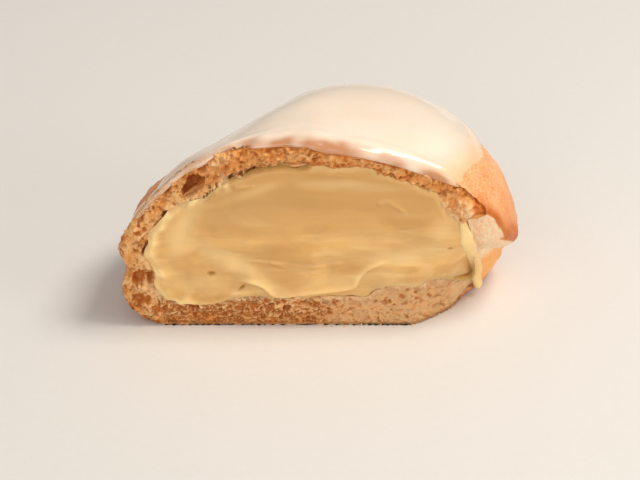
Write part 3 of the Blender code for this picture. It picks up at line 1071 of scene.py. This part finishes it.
def shape_custard(body, sizes):
    """The face of the custard: soft waves, a flap, dents, knife strokes, pits and a lumpy rim."""
    cut, loops = cut_surface(body)
    index = np.array([vertex.index for vertex in cut])
    place = places_of(body)
    from_rim = away_from(place[[vertex.index for vertex in loops[0]]], place[index])
    across, height = (pulled_places[index] for pulled_places in pull_custard(body))
    flat = np.stack([across, np.zeros(len(cut)), height], axis=-1)
    right = past(across, 22.0, 8.0) * short_of(height, 28.0, 5.0)
    left = short_of(across, -14.0, 8.0)
    thin = past(across, 8.0, 5.0) * short_of(height, 14.0, 4.0)
    ragged = np.clip(0.1 + 1.5 * speckle(flat, 2.6 * MM, layer=12.0), 0.0, 1.0)
    ragged *= left * close_to(from_rim, 4.0)
    lip = short_of(across, -33.0, 3.0) * swell(height, 23.5 * MM, 6.5 * MM)
    lip *= swell(from_rim, 1.3 * MM, 1.1 * MM)
    flap, bead, under = custard_flap(across, height)
    sunk = crevice_share(across, height, 0.9 * MM)
    dents = deepest(DENTS, across, height, 2.0)
    pits = np.max([spot_share(across, height, shape, 1.2) for shape in CUSTARD_PITS], axis=0)
    rise = sizes.custard_bulge * past(from_rim, 0.0, 1.6) + 0.5 * MM * right * past(from_rim, 0.0, 3.0)
    rise += MM * (rough(flat, CUSTARD_WAVES) + rough(flat, CUSTARD_LUMPS) * left)
    rise += MM * rough(flat, CUSTARD_RIPPLES) * thin
    rise += MM * (0.6 * ragged + 0.9 * lip - 1.4 * sunk - 0.6 * pits) + flap - dents
    for stroke in STROKES:
        rise += 0.4 * MM * swell(away_from_line(through(stroke), across, height), 0.0, 0.5 * MM)
    front = np.stack([across, CUT_Y + cut_line(across, height), height], axis=-1)
    set_points(cut, front + cut_normals(across, height) * rise[:, None])
    # Paler at the rim, the lip and the lumps as the custard's own colour; the flap's bead is painted paler as
    # a painted highlight.
    edge = 0.3 * close_to(from_rim, 1.6) + 0.8 * lip + 0.7 * ragged + 0.45 * bead
    # Painted light: the lower custard is painted paler in patches.
    low = short_of(height, 26.0, 8.0)
    edge += 0.5 * ease(speckle(flat, 7.0 * MM, (1.6, 1.0, 1.0), 15.0) + 0.1) * low
    wobble = 0.5 * speckle(flat, 2.5 * MM, (2.5, 1.0, 1.0), 17.0)
    for shape in SMEARS:
        edge += shape[5] * spot_share(across, height, shape, 2.0, wobble)
    moist = np.maximum(under, thin) + 0.4 * dents / (0.7 * MM)
    # Painted shade: darker towards the top of the custard, less at the right.
    deep = past(height, 18.0, 18.0) * (1.0 - 0.5 * right)
    # Painted shade in the pits and in the crevice under the crumb goes with the painted top shade.
    found = {"edge": edge, "hole": pits + 0.9 * sunk, "moist": moist, "deep": deep}
    return spread_out(found, index, len(body.verts))


# The ridge of custard that hangs at the right of the cut: across, up, half width, half thickness, in mm.
RIDGE = (
    (32.9, 28.4, 1.1, 0.7),
    (33.6, 24.8, 1.6, 0.9),
    (34.3, 20.8, 1.9, 1.0),
    (35.1, 16.6, 1.9, 1.0),
    (35.9, 12.6, 1.8, 1.05),
    (36.5, 9.0, 1.6, 1.15),
    (37.0, 5.8, 1.4, 1.3),
    (37.6, 3.2, 1.2, 1.2),
    (37.8, 1.8, 0.8, 0.9),
)


def make_ridge(sizes, finish):
    """The ridge and its drip, as a rod along the right edge of the cut."""
    ball, azimuth, latitude = ball_mesh(*RIDGE_BALL)
    path = through(RIDGE) * MM
    share = (np.sin(latitude) + 1.0) / 2.0 * (len(path) - 1)
    step = np.arange(len(path))
    across, height, wide, thick = (np.interp(share, step, path[:, part]) for part in range(4))
    ahead = np.stack([np.interp(share, step, np.gradient(path[:, part])) for part in range(2)], axis=-1)
    ahead /= np.linalg.norm(ahead, axis=-1, keepdims=True)
    middle = np.stack([across, CUT_Y + cut_line(across, height) - sizes.ridge_forward, height], axis=-1)
    aside = np.stack([ahead[:, 1], np.zeros(len(share)), -ahead[:, 0]], axis=-1)
    full = np.sqrt(np.maximum(1.0 - np.abs(np.sin(latitude)) ** 6, 0.0))
    full = full * (1.0 + 0.2 * speckle(middle, 3.2 * MM, layer=4.0))
    places = middle + aside * (wide * full * np.cos(azimuth))[:, None]
    places = places + cut_normals(across, height) * (thick * full * np.sin(azimuth))[:, None]
    places[:, 2] = np.maximum(places[:, 2], 0.2 * MM)
    set_places(ball, places)
    bmesh.ops.recalc_face_normals(ball, faces=ball.faces)
    ridge = as_object(ball, "custard_ridge")
    # Painted light: the ridge is painted paler on its left side and its front.
    paint(ridge.data, "edge", np.clip(0.6 + 0.3 * np.cos(azimuth) + 0.3 * np.sin(azimuth), 0.0, 1.0))
    for name in ("hole", "moist", "deep"):
        paint(ridge.data, name, np.zeros(len(share)))
    ridge.data.materials.append(finish)
    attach(ridge, BODY)


def make_custard(sizes, colours):
    """The form of the hollow, cut by the same knife, and the ridge beside it."""
    knife = knife_body()
    custard = cut_from(lining_body("custard_filling", CUSTARD_BALL), knife)
    throw_away(knife)
    body = bmesh.new()
    body.from_mesh(custard.data)
    painted = shape_custard(body, sizes)
    finish = custard_finish(colours)
    keep(body, custard, painted, finish)
    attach(custard, BODY)
    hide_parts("custard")
    make_ridge(sizes, finish)


# The icing seen along a line from its summit down to its rim.
ARC_SAMPLES = 90
ARC_START = QUARTER - 0.02  # just beside the summit, where every line down would start at one point
RIM_SHARE = 0.2  # of the rows of points between the summit and the rim, those that round the rim
CURL = 0.3 * MM  # how far the rim turns under
LEAST_HANG = 0.2 * MM  # how far the icing reaches into the crust, so that no gap shows
NEAR_CUT = 16.0 * MM  # over this much of its lower edge the icing goes over from the cut's rim to the crust's
SUMMIT_CROWDING = 1.6
ICING_SLOPE = sides(9.0, 3.5, 5.0, 5.0, MM)
ICING_FEATHER = sides(2.6, 0.3, 1.2, 0.0)
ICING_FADE = sides(10.0, 6.0, 6.5, 6.5, MM)
ICING_SMOOTHING = math.radians(1.5)
FEW_LINES = 10  # the icing is levelled by one line in so many, and by one point in so many along it
FEW_POINTS = 3
# Across and, at that place, how far the icing hangs over the cut, in mm. Below 0 it stops short of the cut.
HANG = (
    (-45.0, -2.4), (-41.0, -1.4), (-36.0, -0.8), (-31.7, -0.2), (-28.7, 1.4), (-26.5, 0.4),
    (-24.5, -1.2), (-22.5, -2.5), (-19.5, -2.4), (-17.0, -0.4), (-13.0, -0.4), (-8.0, -0.7),
    (-4.5, 0.0), (0.5, 1.2), (9.0, 0.9), (20.0, 1.1), (26.0, 1.5), (31.0, 0.4), (34.0, 0.1),
)


def icing_ground(azimuth):
    """Places and normals of the crust along a line down from the summit, with the way along it."""
    latitude = np.linspace(ARC_START, 0.0, ARC_SAMPLES)
    turn = np.full(ARC_SAMPLES, azimuth)
    small = 0.004
    places = form_points(turn, latitude)
    ahead = form_points(turn + small, latitude) - form_points(turn - small, latitude)
    up = form_points(turn, latitude + small) - form_points(turn, latitude - small)
    normals = np.cross(ahead, up)
    normals /= np.linalg.norm(normals, axis=1, keepdims=True)
    along = np.concatenate([[0.0], np.cumsum(np.linalg.norm(np.diff(places, axis=0), axis=1))])
    return places, normals, along


def icing_arc(azimuth, shares, sizes):
    """A line down the icing. share is 1 at the summit, 0 at the rim and -1 below the summit."""
    places, normals, along = icing_ground(azimuth)
    low = np.interp(0.0, -(places[:, 2] - icing_edge(azimuth)), along)
    cut = along[-1] + 1.0
    if places[-1, 1] < CUT_Y:
        cut = np.interp(0.0, -(places[:, 1] - CUT_Y), along)
    at_cut = float(ease(0.5 + (low - cut) / NEAR_CUT))
    knots = np.array(HANG) * MM
    hang = float(np.interp(np.interp(min(low, cut), along, places[:, 0]), knots[:, 0], knots[:, 1]))
    end = min(low, cut + min(hang, 0.0))
    thickness = sides(sizes.icing_right, sizes.icing_back, sizes.icing_left, sizes.icing_front)
    thick = float(by_side(thickness, azimuth))
    slow = float(by_side(ICING_SLOPE, azimuth))
    width = slow + (sizes.icing_shoulder / max(abs(math.sin(azimuth)), 0.5) - slow) * at_cut
    feather = 1.0 + (1.0 - at_cut) * float(by_side(ICING_FEATHER, azimuth))
    hang = LEAST_HANG + (max(hang, LEAST_HANG) - LEAST_HANG) * at_cut
    inward = np.clip((np.abs(shares) - RIM_SHARE) / (1.0 - RIM_SHARE), 0.0, 1.0)
    turn = np.clip(shares / RIM_SHARE, -1.0, 1.0) * QUARTER
    side = np.where(turn > 0.0, width, CURL)
    distance = (end - side * (1.0 - np.cos(turn))) * (1.0 - inward**SUMMIT_CROWDING)
    crown = (thick + hang) * np.abs(np.sin(turn)) ** feather
    offset = np.where(turn > 0.0, crown, CURL * np.sin(turn)) - hang
    place = np.stack([np.interp(distance, along, places[:, part]) for part in range(3)], axis=-1)
    facing = np.stack([np.interp(distance, along, normals[:, part]) for part in range(3)], axis=-1)
    facing /= np.linalg.norm(facing, axis=-1, keepdims=True)
    place = place + facing * offset[:, None]
    proud = sizes.icing_bulge * at_cut * float(past(hang, 0.0, 0.6))
    place[:, 1] -= proud * np.cos(turn) * (inward == 0.0)
    return place, facing, end - distance, at_cut


def level_summit(grid, from_edge, spread):
    """Evens out the height of the icing away from its rim, as it does by itself while it sets."""
    rows = grid.shape[1]
    top = rows // 2 + 1
    few = grid[::FEW_LINES, top::FEW_POINTS].reshape(-1, 3)
    steps = np.linalg.norm(np.diff(grid[:, top - 1:], axis=1), axis=2)
    rings = np.linalg.norm(np.roll(grid, -1, axis=0) - grid, axis=2)[:, top:]
    area = (steps * rings)[::FEW_LINES, ::FEW_POINTS].reshape(-1)

    def averaged(places, heights):
        away = (places[:, 0, None] - few[None, :, 0]) ** 2 + (places[:, 1, None] - few[None, :, 1]) ** 2
        weight = np.exp(-away / (2.0 * spread**2)) * area
        return (weight * heights).sum(axis=1) / weight.sum(axis=1)

    heights = 2.0 * few[:, 2] - averaged(few, few[:, 2])
    for row in range(top, rows):
        share = past(from_edge[:, row], 4.0, 8.0)
        change = (averaged(grid[:, row], heights) - grid[:, row, 2]) * share
        grid[:, row, 2] += change
        grid[:, rows - 1 - row, 2] += change


def icing_grid(around, upward, sizes):
    """The lines of the icing side by side, with soft waves, smoothed around and levelled at the top."""
    shares = np.linspace(-1.0, 1.0, upward + 1)
    arcs = [icing_arc(wrapped(turn * math.tau / around), shares, sizes) for turn in range(around)]
    grid, facing, from_edge = (np.array([arc[part] for arc in arcs]) for part in range(3))
    at_cut = np.array([arc[3] for arc in arcs])
    flat = grid.reshape(-1, 3)
    waves = rough(flat, ICING_UNDULATION).reshape(from_edge.shape) * ease(shares / 0.15)
    waves = waves * (1.0 - 0.7 * past(-grid[:, :, 0], 12.0, 12.0))
    waves = waves * (0.35 + 0.65 * close_to(from_edge, 14.0))
    grid += facing * (sizes.icing_waves * waves)[:, :, None]
    damping = np.exp(-0.5 * (np.arange(around // 2 + 1) * ICING_SMOOTHING) ** 2)
    grid = np.fft.irfft(np.fft.rfft(grid, axis=0) * damping[:, None, None], around, axis=0)
    level_summit(grid, from_edge, sizes.summit_spread)
    return grid, from_edge, at_cut


def make_icing(sizes, colours):
    """A closed layer of icing: its upper half lies on top and its lower half against the crust."""
    around, upward = ICING_BALL[:2]
    ball, azimuth, latitude = ball_mesh(*ICING_BALL)
    grid, from_edge, at_cut = icing_grid(around, upward, sizes)
    turns = np.round(azimuth / (math.tau / around)).astype(int) % around
    rows = np.round((latitude / QUARTER + 1.0) / 2.0 * upward).astype(int)
    places = grid[turns, rows]
    set_places(ball, places)
    bmesh.ops.recalc_face_normals(ball, faces=ball.faces)
    patchy = speckle(places, 3.5 * MM, layer=11.0)
    edge = from_edge[turns, rows]
    front = at_cut[turns]
    left = past(-places[:, 0], 16.0, 18.0) * (0.85 + 0.6 * patchy)
    kept = front**3 * short_of(places[:, 0], 36.0, 8.0)
    thin = (1.0 - kept) * ease(1.05 - edge / by_side(ICING_FADE, azimuth))
    rim = front * ease(1.1 - edge / (4.0 * MM)) * (0.75 + 0.9 * patchy) * (1.0 - 0.75 * left)
    icing = as_object(ball, "poured_icing")
    paint(icing.data, "film", 0.75 * np.clip(left, 0.0, 1.0))
    paint(icing.data, "thin", thin)
    paint(icing.data, "rim", np.clip(rim, 0.0, 1.0))
    icing.data.materials.append(icing_finish(colours))
    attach(icing, BODY)
    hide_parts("icing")


# The row of loose crumbs at the foot of the cut, in mm: where it starts, how long it is, how far a crumb
# lies off its place along it and ahead of the cut, and the crumb's radius.
CRUMBS_START = -6.0
CRUMBS_RUN = 40.0
CRUMB_SCATTER = (-2.0, 2.0)
CRUMB_AHEAD = (-0.3, 0.5)
CRUMB_RADIUS = (0.12, 0.34)


def make_crumbs(sizes, colours):
    """Loose crumbs along the lower right of the cut."""
    chance = random.Random(41)
    body = bmesh.new()
    for number in range(sizes.crumb_count):
        share = number / max(sizes.crumb_count - 1, 1)
        across = (CRUMBS_START + CRUMBS_RUN * share**0.8 + chance.uniform(*CRUMB_SCATTER)) * MM
        radius = chance.uniform(*CRUMB_RADIUS) * MM
        ahead = chance.uniform(*CRUMB_AHEAD) * MM
        place = Vector((across, CUT_Y + float(cut_line(across, 0.0)) - ahead, 0.7 * radius))
        made = bmesh.ops.create_icosphere(body, subdivisions=2, radius=radius)["verts"]
        for vertex in made:
            vertex.co *= 1.0 + 0.45 * noise.noise(vertex.co / radius + Vector((number * 3.7, 0.0, 0.0)))
            vertex.co.z *= 0.75
            vertex.co += place
            vertex.co.z = max(vertex.co.z, 0.0)
    crumbs = as_object(body, "loose_crumbs")
    crumbs.data.materials.append(crumb_finish(colours))
    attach(crumbs, BODY)


# Soft lights: direction, distance and side in metres, colour.
LIGHTS = {
    "key": ((0.50, -0.04, 0.86), 0.9, 0.34, (1.0, 0.95, 0.88)),
    "side": ((0.9, -0.55, 0.35), 1.0, 0.5, (1.0, 0.93, 0.84)),
    "fill": ((-0.25, -0.9, 0.45), 1.2, 0.9, (1.0, 0.96, 0.92)),
}
ROOM_COLOUR = (1.0, 0.97, 0.94, 1.0)
FLOOR_BELOW = 0.02 * MM
CAMERA_DOWN = math.radians(27.6)
LENS_LENGTH = 191.25
SENSOR_WIDTH = 36.0
AIM = Vector((AXIS_X, 14.62 * MM, 0.0))


def area_light(name, power, direction, distance, size, colour):
    """A square soft light that faces the puff from this direction."""
    lamp = bpy.data.lights.new(name, "AREA")
    lamp.shape = "SQUARE"
    lamp.size = size
    lamp.energy = power
    lamp.color = colour
    made = bpy.data.objects.new(name, lamp)
    bpy.context.scene.collection.objects.link(made)
    made.location = Vector(direction).normalized() * distance
    made.rotation_euler = Vector(direction).to_track_quat("Z", "Y").to_euler()


def make_stage(stage, colours):
    """Floor, soft lights and the camera."""
    paper = bmesh.new()
    bmesh.ops.create_grid(paper, x_segments=8, y_segments=8, size=stage.floor_size / 2.0)
    for vertex in paper.verts:
        vertex.co.z = -FLOOR_BELOW
    floor = as_object(paper, "studio_floor")
    floor.data.materials.append(floor_finish(colours))
    for name, light in LIGHTS.items():
        area_light(name, getattr(stage, name + "_power"), *light)
    world = bpy.data.worlds.new("studio")
    bpy.context.scene.world = world
    world.use_nodes = True
    background = world.node_tree.nodes["Background"]
    background.inputs["Color"].default_value = ROOM_COLOUR
    background.inputs["Strength"].default_value = stage.room_light
    bpy.context.scene.view_settings.view_transform = "Standard"
    lens = bpy.data.cameras.new("camera")
    lens.lens = LENS_LENGTH
    lens.sensor_width = SENSOR_WIDTH
    lens.clip_start = 0.01
    camera = bpy.data.objects.new("camera", lens)
    bpy.context.scene.collection.objects.link(camera)
    down = stage.camera_down
    back = Vector((0.0, -math.cos(down), math.sin(down)))
    camera.location = AIM + back * stage.camera_distance
    camera.rotation_euler = (QUARTER - down, 0.0, 0.0)
    bpy.context.scene.camera = camera


# ---------------------------------------------------------------- add-on


def amount(name, description, default, **settings):
    return FloatProperty(name=name, description=description, default=default, min=0.0, **settings)


def length(name, description, default):
    return amount(name, description, default, subtype="DISTANCE", unit="LENGTH", precision=5)


def colour(name, description, default):
    return FloatVectorProperty(
        name=name, description=description, default=default, min=0.0, max=1.0, size=3, subtype="COLOR"
    )


class PuffSizes(PropertyGroup):
    icing_front: length("Icing, front", "Thickness of the icing at the cut", 1.7 * MM)
    icing_right: length("Icing, right", "Thickness of the icing at the right", 1.2 * MM)
    icing_back: length("Icing, back", "Thickness of the icing at the back", 1.6 * MM)
    icing_left: length("Icing, left", "Thickness of the icing at the left", 0.9 * MM)
    icing_bulge: length("Icing bulge", "How far the icing's rim stands proud of the cut", 0.6 * MM)
    icing_shoulder: length("Icing shoulder", "Distance over which the icing rounds down to the cut", 4.5 * MM)
    summit_spread: length("Summit spread", "Over what distance the icing evens out at the top", 4.0 * MM)
    icing_waves: length("Icing waves", "Height of the soft waves in the icing", 0.34 * MM)
    ridge_forward: length("Ridge forward", "How far the custard's ridge stands in front of the cut", 0.3 * MM)
    custard_bulge: length("Custard bulge", "How far the custard stands proud of the cut", 0.5 * MM)
    crust_bumps: length("Crust bumps", "Height of the bumps on the baked skin", 0.45 * MM)
    crust_wrinkles: length("Crust wrinkles", "Height of the fine wrinkles on the baked skin", 0.16 * MM)
    crust_sunk: length("Sunk crust", "How much lower the skin lies well under the icing", 1.6 * MM)
    bubbles: amount("Bubbles", "Size of the bubbles in the crumb, as a factor", 1.0, soft_min=0.3, max=3.0)
    crumb_count: IntProperty(name="Crumbs", description="Number of loose crumbs", default=16, min=1, max=200)


class PuffColours(PropertyGroup):
    skin: colour("Skin", "Baked skin", (0.78, 0.29, 0.075))
    skin_light: colour("Light skin", "Palest baked skin", (0.93, 0.50, 0.235))
    skin_dark: colour("Dark skin", "Brownest baked skin", (0.57, 0.145, 0.013))
    burst: colour("Burst", "Pale dough where the side burst", (0.98, 0.79, 0.53))
    burst_pink: colour("Burst, pink", "Pinker dough where the side burst", (0.95, 0.64, 0.43))
    burst_low: colour("Burst, low", "Dough low in the burst, more baked", (0.96, 0.46, 0.13))
    skin_pale: colour("Pale skin", "Pale specks of the baked skin", (0.95, 0.61, 0.35))
    crumb: colour("Crumb", "Inside of the choux", (0.80, 0.43, 0.155))
    crumb_toasted: colour("Toasted crumb", "Inside of the choux near the top", (0.76, 0.285, 0.05))
    crumb_fleck: colour("Crumb fleck", "Pale flecks in the crumb", (0.92, 0.63, 0.33))
    crumb_damp: colour("Damp crumb", "Smooth crumb, damp with custard", (0.64, 0.37, 0.17))
    # Painted shade in the crumb's pores and cavities, and browning along the crust.
    pore_shade: colour("Pore", "Inside of a bubble", (0.50, 0.155, 0.022))
    custard: colour("Custard", "Body of the custard", (0.82, 0.49, 0.16))
    # Also the colour of the painted shade towards the top of the custard.
    custard_deep_and_shade: colour("Deep custard", "Deeper yellow of the custard", (0.62, 0.345, 0.11))
    # Also the colour of the painted highlight on the flap's bead and the ridge, and of the painted light low
    # down.
    custard_light: colour("Light custard", "Edges and streaks of the custard", (0.96, 0.70, 0.33))
    custard_thin: colour("Thin custard", "Custard smeared over crumb", (0.62, 0.39, 0.17))
    # Painted shade in the custard's pits and crevice.
    custard_crease_shade: colour("Custard hole", "Inside of pits and creases", (0.42, 0.21, 0.025))
    icing: colour("Icing", "Body of the icing", (0.93, 0.765, 0.62))
    icing_warm: colour("Warm icing", "Warmer patches of the icing", (0.93, 0.745, 0.58))
    icing_thin: colour("Thin icing", "Icing where the crust shows through", (0.72, 0.46, 0.31))
    icing_thinnest: colour("Thinnest icing", "Icing that hardly covers the crust", (0.58, 0.25, 0.09))
    icing_faded: colour("Faded icing", "Icing that fades into the light skin", (0.92, 0.50, 0.25))
    icing_rim: colour("Icing rim", "Icing at the cut, over toasted crumb", (0.56, 0.27, 0.13))
    paper: colour("Paper", "Studio floor", (0.78, 0.75, 0.71))


class PuffStage(PropertyGroup):
    floor_size: length("Floor", "Side of the studio floor", 3.0)
    key_power: amount("Key light", "Power of the key light, in watts", 5.2)
    side_power: amount("Side light", "Power of the light at the right, in watts", 2.4)
    fill_power: amount("Fill light", "Power of the fill light, in watts", 4.5)
    room_light: amount("Room light", "Strength of the light all round", 0.38)
    camera_distance: length("Camera distance", "From the camera to the puff", 0.852)
    camera_down: amount(
        "Camera angle", "How steeply the camera looks down", CAMERA_DOWN, subtype="ANGLE", unit="ROTATION"
    )


class PUFF_OT_choux(Operator):
    """Make the baked choux, cut open"""

    bl_idname = "puff.choux"
    bl_label = "Choux"

    def execute(self, context):
        make_choux(context.scene.puff_sizes, context.scene.puff_colours)
        return {"FINISHED"}


class PUFF_OT_custard(Operator):
    """Make the custard filling"""

    bl_idname = "puff.custard"
    bl_label = "Custard"

    def execute(self, context):
        make_custard(context.scene.puff_sizes, context.scene.puff_colours)
        return {"FINISHED"}


class PUFF_OT_icing(Operator):
    """Pour the icing over the top"""

    bl_idname = "puff.icing"
    bl_label = "Icing"

    def execute(self, context):
        make_icing(context.scene.puff_sizes, context.scene.puff_colours)
        return {"FINISHED"}


class PUFF_OT_crumbs(Operator):
    """Scatter loose crumbs along the cut"""

    bl_idname = "puff.crumbs"
    bl_label = "Crumbs"

    def execute(self, context):
        make_crumbs(context.scene.puff_sizes, context.scene.puff_colours)
        return {"FINISHED"}


class PUFF_OT_stage(Operator):
    """Make the floor, the lights and the camera"""

    bl_idname = "puff.stage"
    bl_label = "Stage"

    def execute(self, context):
        make_stage(context.scene.puff_stage, context.scene.puff_colours)
        return {"FINISHED"}


class PUFF_PT_panel(Panel):
    """Sizes, colours and pieces of the cream puff"""

    bl_idname = "PUFF_PT_panel"
    bl_label = "Cream puff"
    bl_space_type = "VIEW_3D"
    bl_region_type = "UI"
    bl_category = "Cream puff"

    def draw(self, context):
        for group in (context.scene.puff_sizes, context.scene.puff_colours, context.scene.puff_stage):
            box = self.layout.box()
            for name in group.__annotations__:
                box.prop(group, name)
        for maker in OPERATORS:
            self.layout.operator(maker.bl_idname)


OPERATORS = (PUFF_OT_choux, PUFF_OT_custard, PUFF_OT_icing, PUFF_OT_crumbs, PUFF_OT_stage)
GROUPS = {"puff_sizes": PuffSizes, "puff_colours": PuffColours, "puff_stage": PuffStage}


def register():
    for group in GROUPS.values():
        bpy.utils.register_class(group)
    for maker in OPERATORS:
        bpy.utils.register_class(maker)
    bpy.utils.register_class(PUFF_PT_panel)
    for name, group in GROUPS.items():
        setattr(bpy.types.Scene, name, PointerProperty(type=group))


def unregister():
    for name in GROUPS:
        delattr(bpy.types.Scene, name)
    bpy.utils.unregister_class(PUFF_PT_panel)
    for maker in reversed(OPERATORS):
        bpy.utils.unregister_class(maker)
    for group in GROUPS.values():
        bpy.utils.unregister_class(group)


def main():
    register()
    bpy.ops.puff.choux()
    bpy.ops.puff.custard()
    bpy.ops.puff.icing()
    bpy.ops.puff.crumbs()
    bpy.ops.puff.stage()


if __name__ == "__main__":
    main()
